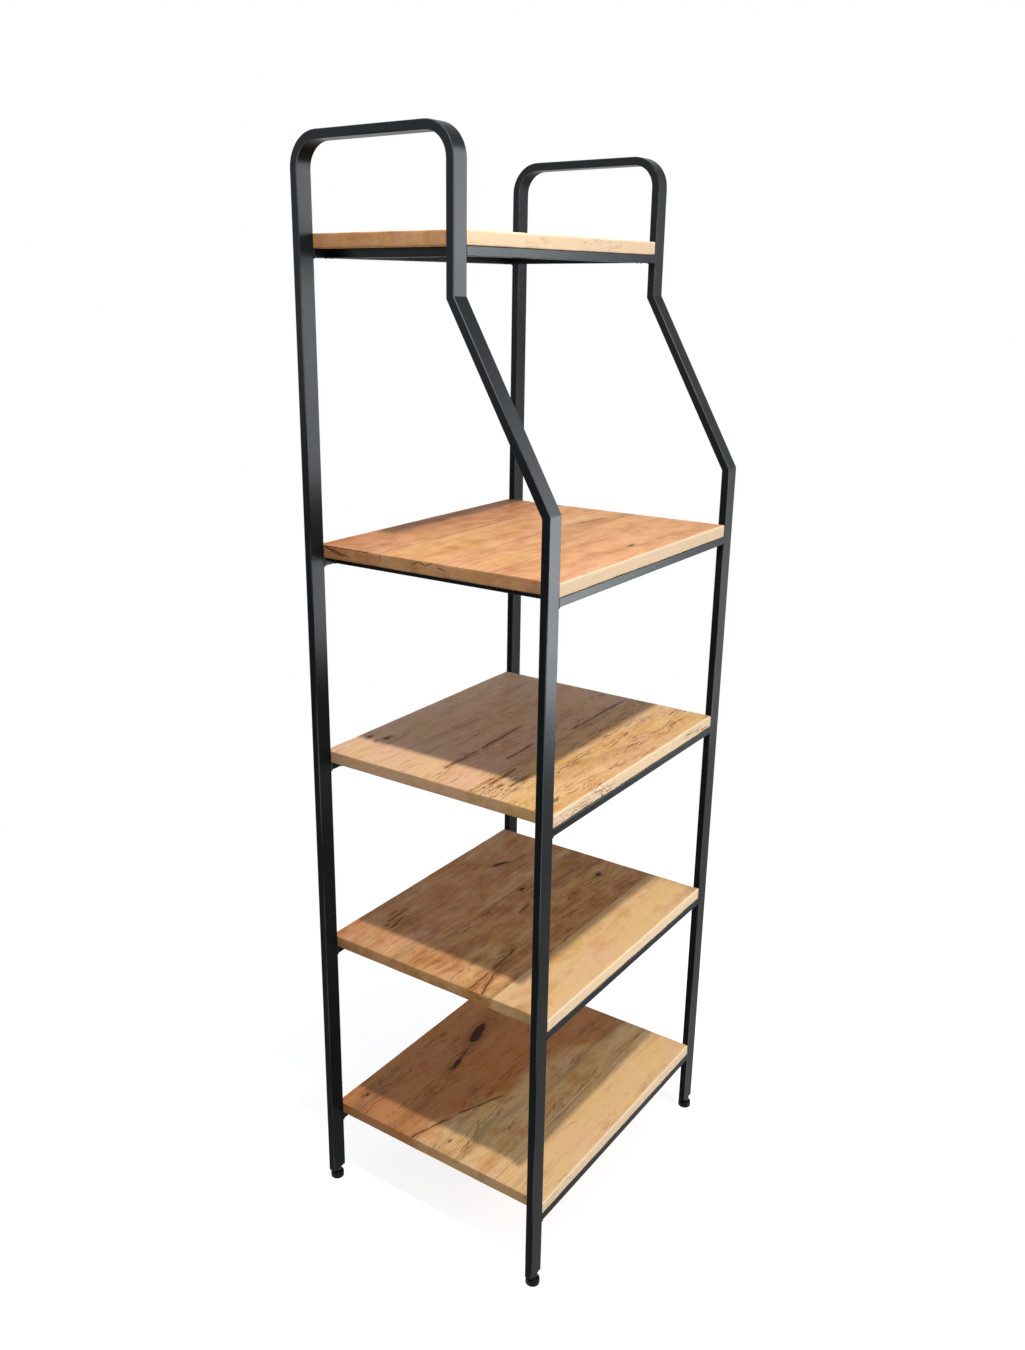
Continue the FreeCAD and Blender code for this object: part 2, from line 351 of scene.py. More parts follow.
class RackGlides(bpy.types.PropertyGroup):
    """Finishes and sizes of the glides"""
    oxide: bpy.props.FloatVectorProperty(
        name="Black oxide", description="Blackened steel", subtype="COLOR", default=linear("#26282a"))
    oxide_worn: bpy.props.FloatVectorProperty(
        name="Worn oxide", description="Steel shining through", subtype="COLOR", default=linear("#4a4b4b"))
    plastic: bpy.props.FloatVectorProperty(
        name="Plastic", description="Moulded pads and plugs", subtype="COLOR", default=linear("#0e0f10"))
    plastic_scuffed: bpy.props.FloatVectorProperty(
        name="Scuffed plastic", description="Paler scuffs on it", subtype="COLOR", default=linear("#1c1e20"))
    sides: bpy.props.IntProperty(
        name="Sides", description="Mesh points round a stem, a multiple of 12", default=48)
    chamfer: bpy.props.FloatProperty(
        name="Chamfer", description="Chamfer of a stem's edges", unit="LENGTH", default=0.7 * MM)
    head_radius: bpy.props.FloatProperty(
        name="Head radius", description="Captive head inside the pad", unit="LENGTH", default=5.0 * MM)
    head_height: bpy.props.FloatProperty(
        name="Head height", description="Height of the captive head", unit="LENGTH", default=3.0 * MM)
    neck_radius: bpy.props.FloatProperty(
        name="Neck radius", description="Stem inside the pad's throat", unit="LENGTH", default=3.5 * MM)
    hexagon_height: bpy.props.FloatProperty(
        name="Hexagon height", description="Height of the spanner's hexagon", unit="LENGTH", default=6.5 * MM)
    stud_radius: bpy.props.FloatProperty(
        name="Stud radius", description="Over the thread's crests", unit="LENGTH", default=3.0 * MM)
    stud_length: bpy.props.FloatProperty(
        name="Stud length", description="Threaded length above the hexagon", unit="LENGTH", default=20 * MM)
    pitch: bpy.props.FloatProperty(
        name="Thread pitch", description="Rise of one turn of the thread", unit="LENGTH", default=1.0 * MM)
    thread_depth: bpy.props.FloatProperty(
        name="Thread depth", description="From the crest to the root", unit="LENGTH", default=0.55 * MM)


class RackStage(bpy.types.PropertyGroup):
    """Floor, light and camera"""
    floor: bpy.props.FloatVectorProperty(
        name="Floor", description="Pale studio floor", subtype="COLOR", default=linear("#bab3a8"))
    floor_reach: bpy.props.FloatProperty(
        name="Floor reach", description="How far the floor goes to each side", unit="LENGTH", default=12.0)
    floor_near: bpy.props.FloatProperty(
        name="Shadow reach", description="Radius in which the floor shows shadows", unit="LENGTH",
        default=0.9)
    floor_far: bpy.props.FloatProperty(
        name="White from", description="Radius from which the floor is plain white", unit="LENGTH",
        default=1.9)
    floor_lift: bpy.props.FloatProperty(
        name="Floor lift", description="White that the floor adds for the camera", default=0.83)
    zenith: bpy.props.FloatProperty(
        name="Light from above", description="Strength of the soft light straight from above", default=0.70)
    horizon: bpy.props.FloatProperty(
        name="Light from the sides", description="Strength of the soft light from the sides", default=0.17)
    sky_colour: bpy.props.FloatVectorProperty(
        name="Soft light colour", description="Colour of that light", subtype="COLOR",
        default=linear("#d3e3ff"))
    ceiling_lamp_place: bpy.props.FloatVectorProperty(
        name="Ceiling lamp", description="Place of the ceiling lamp", subtype="TRANSLATION",
        default=(-0.633, -0.766, 2.70))
    ceiling_lamp_power: bpy.props.FloatProperty(
        name="Ceiling lamp power", description="Power of the ceiling lamp", unit="POWER", default=140)
    ceiling_lamp_radius: bpy.props.FloatProperty(
        name="Ceiling lamp radius", description="Size of the ceiling lamp", unit="LENGTH", default=0.045)
    lamp_colour: bpy.props.FloatVectorProperty(
        name="Lamp colour", description="Warm white of the ceiling lamp and the front lamp", subtype="COLOR",
        default=linear("#fff8f0"))
    front_panel_place: bpy.props.FloatVectorProperty(
        name="Front panel", description="Middle of the panel that the steel's front faces mirror",
        subtype="TRANSLATION", default=(1.70, -1.58, 1.40))
    front_panel_size: bpy.props.FloatVectorProperty(
        name="Front panel size", description="Its width and height", size=2, unit="LENGTH",
        default=(0.65, 2.6))
    front_panel_power: bpy.props.FloatProperty(
        name="Front panel power", description="Its power", unit="POWER", default=225)
    side_panel_place: bpy.props.FloatVectorProperty(
        name="Side panel", description="Middle of the dim panel that the steel's left faces mirror",
        subtype="TRANSLATION", default=(-1.90, 1.40, 1.90))
    side_panel_size: bpy.props.FloatVectorProperty(
        name="Side panel size", description="Its width and height", size=2, unit="LENGTH", default=(1.2, 1.8))
    side_panel_power: bpy.props.FloatProperty(
        name="Side panel power", description="Its power", unit="POWER", default=40)
    panel_colour: bpy.props.FloatVectorProperty(
        name="Panel colour", description="Cool white of both panels", subtype="COLOR",
        default=linear("#f2f9ff"))
    front_lamp_place: bpy.props.FloatVectorProperty(
        name="Front lamp", description="Place of the low, soft lamp in front", subtype="TRANSLATION",
        default=(0.10, -1.30, 0.60))
    front_lamp_size: bpy.props.FloatProperty(
        name="Front lamp size", description="Width of the front lamp", unit="LENGTH", default=0.8)
    front_lamp_power: bpy.props.FloatProperty(
        name="Front lamp power", description="Power of the front lamp", unit="POWER", default=8)
    camera_place: bpy.props.FloatVectorProperty(
        name="Camera", description="Place of the camera", subtype="TRANSLATION",
        default=(-1.50629, -0.97350, 1.45324))
    heading: bpy.props.FloatProperty(
        name="Heading", description="Turn from looking straight back", subtype="ANGLE",
        default=math.radians(54.394))
    tilt: bpy.props.FloatProperty(
        name="Tilt", description="Tilt below the horizon", subtype="ANGLE", default=math.radians(18.193))
    roll: bpy.props.FloatProperty(
        name="Roll", description="Roll about the view axis", subtype="ANGLE", default=math.radians(0.276))
    focal: bpy.props.FloatProperty(
        name="Focal length", description="In pixels of the picture", default=1196.92)
    axis_pixel: bpy.props.FloatVectorProperty(
        name="View axis", description="Pixel that the camera points at", size=2, default=(472.94, 681.61))


def crack_group():
    """How deep a point lies in a wandering crack that runs from one place to another, and in its stain."""
    tree = bpy.data.node_groups.new("wood crack", "ShaderNodeTree")
    for label, kind in (("Place", "Vector"), ("Start", "Vector"), ("End", "Vector"), ("Square To", "Vector"),
                        ("Width", "Float"), ("Wander", "Float")):
        tree.interface.new_socket(label, in_out="INPUT", socket_type="NodeSocket" + kind)
    for label in ("Depth", "Stain"):
        tree.interface.new_socket(label, in_out="OUTPUT", socket_type="NodeSocketFloat")
    given = node(tree, "NodeGroupInput", output=None)
    run = node(tree, VECTOR, {0: given["End"], 1: given["Start"]}, operation="SUBTRACT")
    way = node(tree, VECTOR, {0: run}, operation="NORMALIZE")
    length = node(tree, VECTOR, {0: run}, "Value", operation="LENGTH")
    from_start = node(tree, VECTOR, {0: given["Place"], 1: given["Start"]}, operation="SUBTRACT")
    along = node(tree, VECTOR, {0: from_start, 1: way}, "Value", operation="DOT_PRODUCT")
    share = node(tree, MATH, {0: along, 1: length}, operation="DIVIDE")
    side = node(tree, VECTOR, {0: way, 1: given["Square To"]}, operation="CROSS_PRODUCT")
    across = node(tree, VECTOR, {0: from_start, 1: side}, "Value", operation="DOT_PRODUCT")
    wave = node(tree, NOISE, {"Vector": given["Place"], "Scale": 1 / 26, "Detail": 4.0})
    wave = node(tree, RANGE, {"Value": wave, "To Min": -2.0, "To Max": 2.0})
    shifted = node(tree, MATH, {0: wave, 1: given["Wander"], 2: across}, operation="MULTIPLY_ADD")
    distance = node(tree, MATH, {0: shifted}, operation="ABSOLUTE")
    opens = node(tree, RANGE, {"Value": share, "From Max": 0.12}, interpolation_type="SMOOTHSTEP")
    closes = node(
        tree, RANGE, {"Value": share, "From Min": 1.0, "From Max": 0.7}, interpolation_type="SMOOTHSTEP")
    taper = node(tree, MATH, {0: opens, 1: closes}, operation="MULTIPLY")
    width = node(tree, MATH, {0: given["Width"], 1: taper}, operation="MULTIPLY")
    ratio = node(tree, MATH, {0: distance, 1: width}, operation="DIVIDE")
    made = {}
    for label, reach in (("Depth", 1.0), ("Stain", 4.5)):
        near = node(
            tree, RANGE, {"Value": ratio, "From Min": reach, "From Max": 0.3},
            interpolation_type="SMOOTHSTEP")
        made[label] = node(tree, MATH, {0: near, 1: taper}, operation="MULTIPLY")
    node(tree, "NodeGroupOutput", made, None)
    return tree


def bent_grain(tree, grain):
    """The grain's coordinates, bent by broad swirls and by small ones on them."""
    for along, across, sway in SWIRLS:
        narrow = (1 / along, 1 / across, 1 / across)
        stretched = node(tree, VECTOR, {0: grain, 1: narrow}, operation="MULTIPLY")
        swirl = node(tree, NOISE, {"Vector": stretched, "Scale": 1.0, "Detail": 2.0}, "Color")
        swirl = node(tree, VECTOR, {0: swirl, 1: (0.5, 0.5, 0.5)}, operation="SUBTRACT")
        grain = node(tree, VECTOR, {0: swirl, 1: (0, sway, sway), 2: grain}, operation="MULTIPLY_ADD")
    return grain


def grain_patterns(tree, bent):
    """Noise drawn out along the grain, one for each of PATTERNS."""
    made = {}
    for name, (along, across, detail) in PATTERNS.items():
        narrow = (1 / along, 1 / across, 1 / across)
        stretched = node(tree, VECTOR, {0: bent, 1: narrow}, operation="MULTIPLY")
        made[name] = node(tree, NOISE, {"Vector": stretched, "Scale": 1.0, "Detail": detail})
    return made


def growth_rings(tree, bent, uneven, wood):
    """Rings round the pith, which lies below each plank: 0 to 0.5 and back from one ring to the next."""
    across = node(tree, VECTOR, {0: bent, 1: (0, 1, 1)}, operation="MULTIPLY")
    radius = node(tree, VECTOR, {0: across}, "Value", operation="LENGTH")
    count = node(tree, MATH, {0: radius, 1: MM / wood.ring, 2: uneven}, operation="MULTIPLY_ADD")
    return node(tree, MATH, {0: count, 1: 0.5}, operation="PINGPONG")


def plank_colour(tree, shelf, wood, marks, pattern, rings):
    """Dark late wood to pale sapwood, as each plank's tone and figure say, with its golden or pink tint."""
    tone = marks["tone"]
    figure = BOARDS[shelf]["figure"]
    for layer, weight, middle in (
        (pattern["streak"], 0.44 * figure, 0.5),
        (pattern["mottle"], 0.52 * figure, 0.5),
        (rings, 0.11, 0.25),
        (pattern["fibre"], 0.13, 0.5),
    ):
        centred = node(tree, MATH, {0: tone, 1: weight * middle}, operation="SUBTRACT")
        tone = node(tree, MATH, {0: layer, 1: weight, 2: centred}, operation="MULTIPLY_ADD")
    # A new ramp has two stops, which become its first and last
    colour = node(tree, "ShaderNodeValToRGB", {0: tone}, stops=(
        (0.24, opaque(wood.dark)), (0.74, opaque(wood.pale)),
        (0.40, opaque(wood.brown)), (0.56, opaque(wood.tan))))
    blush = node(tree, MATH, {0: pattern["blush"], 1: 1.6, 2: -0.8}, operation="MULTIPLY_ADD")
    pinkness = node(tree, MATH, {0: marks["pinkness"], 1: blush}, operation="ADD", use_clamp=True)
    tint = node(tree, MIX, {
        "Factor_Float": pinkness, "A_Color": opaque(wood.golden), "B_Color": opaque(wood.pink)},
        MIXED_COLOUR, data_type="RGBA")
    return node(tree, MIX, {
        "Factor_Float": 1.0, "A_Color": colour, "B_Color": tint},
        MIXED_COLOUR, data_type="RGBA", blend_type="MULTIPLY")


def grain_marks(tree, marks, pattern):
    """How strongly grey streaks, pores, dark dashes and each knot's halo and core show. Each is a pattern
    between two levels, and pores and dashes gather in bands."""
    ragged = node(tree, MATH, {0: pattern["ragged"], 1: 0.7, 2: -0.35}, operation="MULTIPLY_ADD")
    ragged = node(tree, MATH, {0: marks["knot"], 1: ragged}, operation="ADD")
    shown = {}
    for name, value, low, high in (
        ("smoke", pattern["smoke"], 0.54, 0.76),
        ("band", pattern["band"], 0.40, 0.66),
        ("pores", pattern["pore"], 0.55, 0.67),
        ("dashes", pattern["dash"], 0.55, 0.60),
        ("halo", ragged, 2.6, 0.9),
        ("core", ragged, 1.05, 0.7),
    ):
        shown[name] = node(
            tree, RANGE, {"Value": value, "From Min": low, "From Max": high}, interpolation_type="SMOOTHSTEP")
    # Pores and dashes run along the grain, so a sawn end shows few of them
    long_grain = node(
        tree, MATH, {0: marks["end_grain"], 1: -0.7, 2: marks["flecks"]}, operation="MULTIPLY_ADD",
        use_clamp=True)
    open_grain = node(tree, MATH, {0: long_grain, 1: 0.35}, operation="MAXIMUM")
    gather = node(tree, MATH, {0: shown["band"], 1: 0.6, 2: 0.3}, operation="MULTIPLY_ADD")
    gather = node(tree, MATH, {0: gather, 1: open_grain}, operation="MULTIPLY")
    shown["pores"] = node(tree, MATH, {0: shown["pores"], 1: gather}, operation="MULTIPLY")
    gather = node(tree, MATH, {0: shown["band"], 1: long_grain}, operation="MULTIPLY")
    shown["dashes"] = node(tree, MATH, {0: shown["dashes"], 1: gather}, operation="MULTIPLY")
    return shown


def board_cracks(tree, shelf, crack, left_end, off_ends):
    """How deep each point lies in the board's cracks, and in the stain beside them. Those of the faces stop
    at the sawn ends, and those of the left end stay on it."""
    place = node(tree, VECTOR, {0: node(tree, PLACE, output="Object"), "Scale": 1 / MM}, operation="SCALE")
    split = 0.0
    stain = 0.0
    for start, stop, width, wander in BOARDS[shelf]["cracks"]:
        depth, halo = node(tree, "ShaderNodeGroup", {
            "Place": place, "Start": (*start, 0), "End": (*stop, 0), "Square To": (0, 0, 1),
            "Width": width, "Wander": wander}, None, node_tree=crack)
        split = node(tree, MATH, {0: split, 1: depth}, operation="MAXIMUM")
        stain = node(tree, MATH, {0: stain, 1: halo}, operation="MAXIMUM")
    split = node(tree, MATH, {0: split, 1: off_ends}, operation="MULTIPLY")
    stain = node(tree, MATH, {0: stain, 1: off_ends}, operation="MULTIPLY")
    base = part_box(shelf + "_board")[0].z / MM
    for start, stop, width, wander in BOARDS[shelf]["end_cracks"]:
        depth = node(tree, "ShaderNodeGroup", {
            "Place": place, "Start": (0, start[0], base + start[1]), "End": (0, stop[0], base + stop[1]),
            "Square To": (1, 0, 0), "Width": width, "Wander": wander}, "Depth", node_tree=crack)
        depth = node(tree, MATH, {0: depth, 1: left_end}, operation="MULTIPLY")
        split = node(tree, MATH, {0: split, 1: depth}, operation="MAXIMUM")
    return split, stain


def mango_wood(shelf, wood, crack):
    """Mango, planed, glued up from planks and waxed: soft rings and streaks from pale sapwood to brown
    heartwood, short open pores along the grain, knots and drying cracks, with a low sheen."""
    material, tree = new_material("waxed mango, " + shelf + " board")
    marks = {
        name: node(tree, "ShaderNodeAttribute", output="Fac", attribute_name=name) for name in MARKS}
    bent = bent_grain(tree, node(tree, "ShaderNodeAttribute", output="Vector", attribute_name="grain"))
    pattern = grain_patterns(tree, bent)
    rings = growth_rings(tree, bent, pattern["uneven"], wood)
    colour = plank_colour(tree, shelf, wood, marks, pattern, rings)
    shown = grain_marks(tree, marks, pattern)
    off_ends = node(tree, MATH, {0: 1.0, 1: marks["end_grain"]}, operation="SUBTRACT")
    seam = node(tree, MATH, {0: marks["seam"], 1: off_ends}, operation="MULTIPLY")
    split, stain = board_cracks(tree, shelf, crack, marks["left_end"], off_ends)

    # Painted light: the front edges are painted paler, and the top front arris paler still, for the light and
    # sheen that they catch; cut ends drink the wax and look browner
    for share, strength, laid in (
        (marks["heart"], 0.80, wood.heart), (shown["smoke"], 0.42, wood.smoke),
        (marks["painted_front_light"], 0.88, wood.painted_front_light), (marks["end_grain"], 0.28, wood.brown),
        (shown["pores"], 0.50, wood.fleck), (shown["dashes"], 0.95, wood.fleck),
        (marks["arris"], 0.65, wood.rounded_arris), (seam, 0.60, wood.crack), (stain, 0.45, wood.dark),
        (shown["halo"], 0.50, wood.dark), (shown["core"], 0.93, wood.knot), (split, 0.92, wood.crack),
    ):
        share = node(tree, MATH, {0: share, 1: strength}, operation="MULTIPLY")
        colour = node(tree, MIX, {
            "Factor_Float": share, "A_Color": colour, "B_Color": opaque(laid)},
            MIXED_COLOUR, data_type="RGBA")

    height = node(tree, MATH, {0: pattern["fibre"], 1: 0.3}, operation="MULTIPLY")
    for hollow, strength in (
        (shown["pores"], -0.3), (shown["dashes"], -0.5), (split, -1.0), (shown["core"], -0.6),
    ):
        height = node(tree, MATH, {0: hollow, 1: strength, 2: height}, operation="MULTIPLY_ADD")
    bump = node(tree, "ShaderNodeBump", {"Height": height, "Strength": 0.35, "Distance": 0.5 * MM})
    rough = node(tree, MATH, {0: pattern["fibre"], 1: 0.25, 2: 0.38}, operation="MULTIPLY_ADD")
    shader = node(tree, SHADER, {
        "Base Color": colour, "Roughness": rough, "IOR": 1.47, "Specular IOR Level": 0.04, "Normal": bump})
    node(tree, SURFACE, {"Surface": shader}, None)
    return material


def powder_coat(steel):
    """Black powder coat, baked on steel: satin, with the faint orange-peel ripple of melted powder, and
    a painted highlight in places along the tubes' corners, for the glint of light on them."""
    material, tree = new_material("black powder coat")
    place = node(tree, PLACE, output="Object")
    cloud = node(tree, NOISE, {"Vector": place, "Scale": 1 / (120 * MM), "Detail": 3.0})
    colour = node(tree, MIX, {
        "Factor_Float": cloud, "A_Color": opaque(steel.coat), "B_Color": opaque(steel.dusty)},
        MIXED_COLOUR, data_type="RGBA")
    # Of all a tube's faces, only its rounded corners look neither along X nor square to it
    normal = node(tree, "ShaderNodeNewGeometry", output="True Normal")
    aside = node(tree, MATH, {0: node(tree, "ShaderNodeSeparateXYZ", {0: normal})}, operation="ABSOLUTE")
    patches = node(tree, NOISE, {"Vector": place, "Scale": 1 / (240 * MM), "Detail": 1.0})
    # Painted highlight: the rounded corners, in long patches, are painted paler for the glint of light along
    # them
    highlight_share = steel.corner_highlight_strength
    for value, low, high in ((aside, 0.10, 0.40), (aside, 0.99, 0.90), (patches, 0.38, 0.62)):
        share = node(tree, RANGE, {"Value": value, "From Min": low, "From Max": high})
        highlight_share = node(tree, MATH, {0: highlight_share, 1: share}, operation="MULTIPLY")
    colour = node(tree, MIX, {
        "Factor_Float": highlight_share, "A_Color": colour, "B_Color": opaque(steel.corner_highlight)},
        MIXED_COLOUR, data_type="RGBA")
    peel = node(tree, NOISE, {"Vector": place, "Scale": 1 / steel.peel, "Detail": 2.0})
    bump = node(tree, "ShaderNodeBump", {"Height": peel, "Strength": 0.12, "Distance": 0.2 * MM})
    rough = node(tree, MATH, {0: cloud, 1: 0.10, 2: steel.roughness - 0.05}, operation="MULTIPLY_ADD")
    shader = node(tree, SHADER, {
        "Base Color": colour, "Roughness": rough, "IOR": 1.5, "Specular IOR Level": 0.03, "Normal": bump})
    node(tree, SURFACE, {"Surface": shader}, None)
    return material


def moulded_plastic(glides):
    """Black polypropylene, injection moulded: matt, with a fine spark-eroded grain and paler scuffs."""
    material, tree = new_material("black moulded plastic")
    place = node(tree, PLACE, output="Object")
    scuff = node(tree, NOISE, {"Vector": place, "Scale": 1 / (6 * MM), "Detail": 4.0})
    worn = node(tree, RANGE, {"Value": scuff, "From Min": 0.5, "From Max": 0.8})
    colour = node(tree, MIX, {
        "Factor_Float": worn, "A_Color": opaque(glides.plastic), "B_Color": opaque(glides.plastic_scuffed)},
        MIXED_COLOUR, data_type="RGBA")
    pits = node(tree, NOISE, {"Vector": place, "Scale": 1 / (0.8 * MM), "Detail": 1.0})
    bump = node(tree, "ShaderNodeBump", {"Height": pits, "Strength": 0.2, "Distance": 0.1 * MM})
    rough = node(tree, MATH, {0: scuff, 1: 0.2, 2: 0.42}, operation="MULTIPLY_ADD")
    shader = node(tree, SHADER, {
        "Base Color": colour, "Roughness": rough, "IOR": 1.49, "Specular IOR Level": 0.10, "Normal": bump})
    node(tree, SURFACE, {"Surface": shader}, None)
    return material


def black_oxide(glides):
    """Turned steel with a black oxide finish: dark and oily, with fine turning marks and a little wear."""
    material, tree = new_material("black oxide steel")
    place = node(tree, PLACE, output="Object")
    blotch = node(tree, NOISE, {"Vector": place, "Scale": 1 / (4 * MM), "Detail": 3.0})
    worn = node(tree, RANGE, {"Value": blotch, "From Min": 0.5, "From Max": 0.8})
    colour = node(tree, MIX, {
        "Factor_Float": worn, "A_Color": opaque(glides.oxide), "B_Color": opaque(glides.oxide_worn)},
        MIXED_COLOUR, data_type="RGBA")
    turned = node(tree, VECTOR, {0: place, 1: (0.03 / MM, 0.03 / MM, 4 / MM)}, operation="MULTIPLY")
    marks = node(tree, NOISE, {"Vector": turned, "Scale": 1.0, "Detail": 1.0})
    bump = node(tree, "ShaderNodeBump", {"Height": marks, "Strength": 0.1, "Distance": 0.05 * MM})
    rough = node(tree, MATH, {0: blotch, 1: 0.2, 2: 0.28}, operation="MULTIPLY_ADD")
    shader = node(tree, SHADER, {"Base Color": colour, "Metallic": 1.0, "Roughness": rough, "Normal": bump})
    node(tree, SURFACE, {"Surface": shader}, None)
    return material


def grid_lines(low, high, seams, wood):
    """Mesh lines along one axis of a board: close together at its rounded edges and at its seams."""
    near = wood.edge * np.array((0, 0.3, 0.65, 1))
    cells = max(2, round((high - low) / wood.step))
    inner = np.linspace(low + wood.edge, high - wood.edge, cells + 1)[1:-1]
    for seam in seams:
        inner = inner[np.abs(inner - seam) > wood.groove]
        inner = np.append(inner, (seam - wood.groove / 2, seam, seam + wood.groove / 2))
    return np.sort(np.concatenate((low + near, inner, high - near)))


def lattice_skin(counts):
    """The skin of a box lattice: its points as lattice places, its outward quads as point numbers, and the
    side of the box that each quad is on."""
    places = np.indices(counts)
    skin = np.zeros(counts, bool)
    for axis in range(3):
        skin |= (places[axis] == 0) | (places[axis] == counts[axis] - 1)
    numbers = np.full(counts, -1)
    numbers[skin] = np.arange(skin.sum())
    quads = []
    for axis in range(3):
        for at_end in (False, True):
            sheet = np.take(numbers, -1 if at_end else 0, axis=axis)
            corners = [sheet[:-1, :-1], sheet[:-1, 1:], sheet[1:, 1:], sheet[1:, :-1]]
            outward = corners if at_end == (axis == 1) else corners[::-1]
            quads.append(np.stack([corner.ravel() for corner in outward], axis=1))
    sides = np.concatenate([np.full(len(quad), number) for number, quad in enumerate(quads)])
    return np.stack([axis[skin] for axis in places], axis=1), np.concatenate(quads), sides


def rounded_arris(points, low, high, edge):
    """A board's points with its edges rounded by hand, in some places more than in others."""
    x, y = points[:, 0] / MM, points[:, 1] / MM
    # Waves whose lengths, in millimetres, share no rhythm, and that differ from board to board
    wobble = np.sin(x / 37 + low[2] * 50) + np.sin(y / 23 + x / 71) + np.sin((x + y) / 11 + low[2] * 90)
    rounding = (edge * (1 + UNEVENNESS * wobble))[:, None]
    core = np.clip(points, low + rounding, high - rounding)
    reach = np.linalg.norm(points - core, axis=1, keepdims=True)
    return core + (points - core) * np.divide(rounding, reach, out=np.zeros_like(reach), where=reach > 0)


def knot_field(knots, x, y):
    """How far each point is from the nearest knot, 1 at the knot's rim, and how far knots bend the grain."""
    nearest = np.full(len(x), FAR_FROM_KNOTS)
    flow = np.zeros(len(x))
    for centre_x, centre_y, half_length, half_breadth, turn in knots:
        way = math.radians(turn)
        along = (x - centre_x) * math.cos(way) + (y - centre_y) * math.sin(way)
        across = (y - centre_y) * math.cos(way) - (x - centre_x) * math.sin(way)
        nearest = np.minimum(nearest, np.hypot(along / half_length, across / half_breadth))
        spread = np.hypot(along / (FLOW_LENGTH * half_length), across / (FLOW_BREADTH * half_breadth))
        flow -= across * FLOW_SHARE * np.exp(-2 * spread ** 2)
    return nearest, flow


def sunk_depth(cracks, knot, x, y):
    """How far the wood has shrunk away at its knots and cracks."""
    sunk = KNOT_DEPTH * np.clip(1.3 - knot, 0, 1)
    for start, stop, width, _ in cracks:
        run = np.subtract(stop, start)
        share = ((x - start[0]) * run[0] + (y - start[1]) * run[1]) / (run @ run)
        share = np.clip(share, 0, 1)
        gap = np.hypot(x - start[0] - share * run[0], y - start[1] - share * run[1])
        sunk = np.maximum(sunk, CRACK_DEPTH * width * np.clip(1 - gap / CRACK_SPREAD, 0, 1))
    return sunk


def heart_field(hearts, x, y, low, high):
    """How much of the heartwood's red each point has, behind a wavy border across the board."""
    heart = np.zeros(len(x))
    for left_y, right_y, strength in hearts:
        border = left_y + (right_y - left_y) * (x * MM - low[0]) / (high[0] - low[0])
        for height, length, phase in HEART_WAVES:
            border += height * np.sin(x / length + phase)
        heart = np.maximum(heart, strength / (1 + np.exp(-(y - border) / HEART_SOFTNESS)))
    return heart


def tree_places(shelf, plank, x, y, z):
    """Where the points of each plank lay in the tree, in millimetres along it and from its pith. The sines
    give each plank a pith at another place."""
    number = SHELVES.index(shelf)
    return np.stack((
        x + PLANK_STEP * plank + BOARD_STEP * number,
        y + 26 * np.sin(2.3 * plank + number),
        z + PITH_DEPTH + 35 * np.sin(1.7 * plank + 2.1 * number),
    ), axis=1)


def board_mesh(shelf, wood):
    """A board as one closed mesh: uneven sanded edges, fine grooves at the seams, knots and cracks sunk a
    little. Its attributes hold the wood's own coordinates and marks for the material."""
    facts = BOARDS[shelf]
    low, high = (np.array(corner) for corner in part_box(shelf + "_board"))
    seams = MM * np.array(facts["seams"])
    lines = [grid_lines(low[axis], high[axis], seams if axis == 1 else (), wood) for axis in range(3)]
    places, quads, sides = lattice_skin([len(line) for line in lines])
    sharp = np.stack([lines[axis][places[:, axis]] for axis in range(3)], axis=1)
    x, y = sharp[:, 0] / MM, sharp[:, 1] / MM

    knot, flow = knot_field(facts["knots"], x, y)
    seam = np.zeros(len(sharp))
    for line in seams:
        seam = np.maximum(seam, np.abs(sharp[:, 1] - line) < wood.groove / 4)
    groove = wood.groove_depth * seam
    sunk = np.maximum(sunk_depth(facts["cracks"], knot, x, y), groove)
    points = rounded_arris(sharp, low, high, wood.edge)
    points[:, 2] -= np.where(places[:, 2] == len(lines[2]) - 1, sunk, 0)
    points[:, 2] += np.where(places[:, 2] == 0, groove, 0)
    # Painted highlight: 1 at the top front arris, falling to 0 over the arris width
    arris = np.clip(1 - np.hypot(high[2] - sharp[:, 2], sharp[:, 1] - low[1]) / wood.arris, 0, 1)
    heart = heart_field(facts["hearts"], x, y, low, high)

    corner = quads.ravel()
    plank = np.repeat(np.searchsorted(seams, points[quads, 1].mean(axis=1)), 4)
    borders = np.array((low[1], *seams, high[1])) / MM
    middle = (borders[:-1] + borders[1:]) / 2
    grain = tree_places(
        shelf, plank, x[corner], y[corner] + flow[corner] - middle[plank], (points[corner, 2] - low[2]) / MM)
    side = np.repeat(sides, 4)
    # The front edge's mark places painted light, and the arris mark places a painted highlight
    marks = (
        *np.array(facts["planks"])[plank].T, knot[corner], seam[corner], heart[corner],
        (side == LEFT_END) | (side == RIGHT_END), side == FRONT_EDGE, side == LEFT_END, arris[corner])
    mesh = bpy.data.meshes.new(shelf + "_wood_board")
    mesh.from_pydata(points.tolist(), [], quads.tolist())
    coordinates = mesh.attributes.new("grain", "FLOAT_VECTOR", "CORNER")
    coordinates.data.foreach_set("vector", grain.astype(np.float32).ravel())
    for label, values in zip(MARKS, marks, strict=True):
        made = mesh.attributes.new(label, "FLOAT", "CORNER")
        made.data.foreach_set("value", np.ascontiguousarray(values, np.float32))
    mesh.shade_smooth()
    return mesh


class RACK_OT_boards(bpy.types.Operator):
    """Make the five mango boards, each with its own planks, knots and cracks"""
    bl_idname = "rack.make_boards"
    bl_label = "Boards"

    def execute(self, context):
        wood = context.scene.rack_wood
        crack = crack_group()
        for shelf in SHELVES:
            mesh = board_mesh(shelf, wood)
            mesh.materials.append(mango_wood(shelf, wood, crack))
            board = new_object(shelf + "_wood_board", mesh)
            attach(board, "frame")
            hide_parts(shelf + "_board")
        return {"FINISHED"}


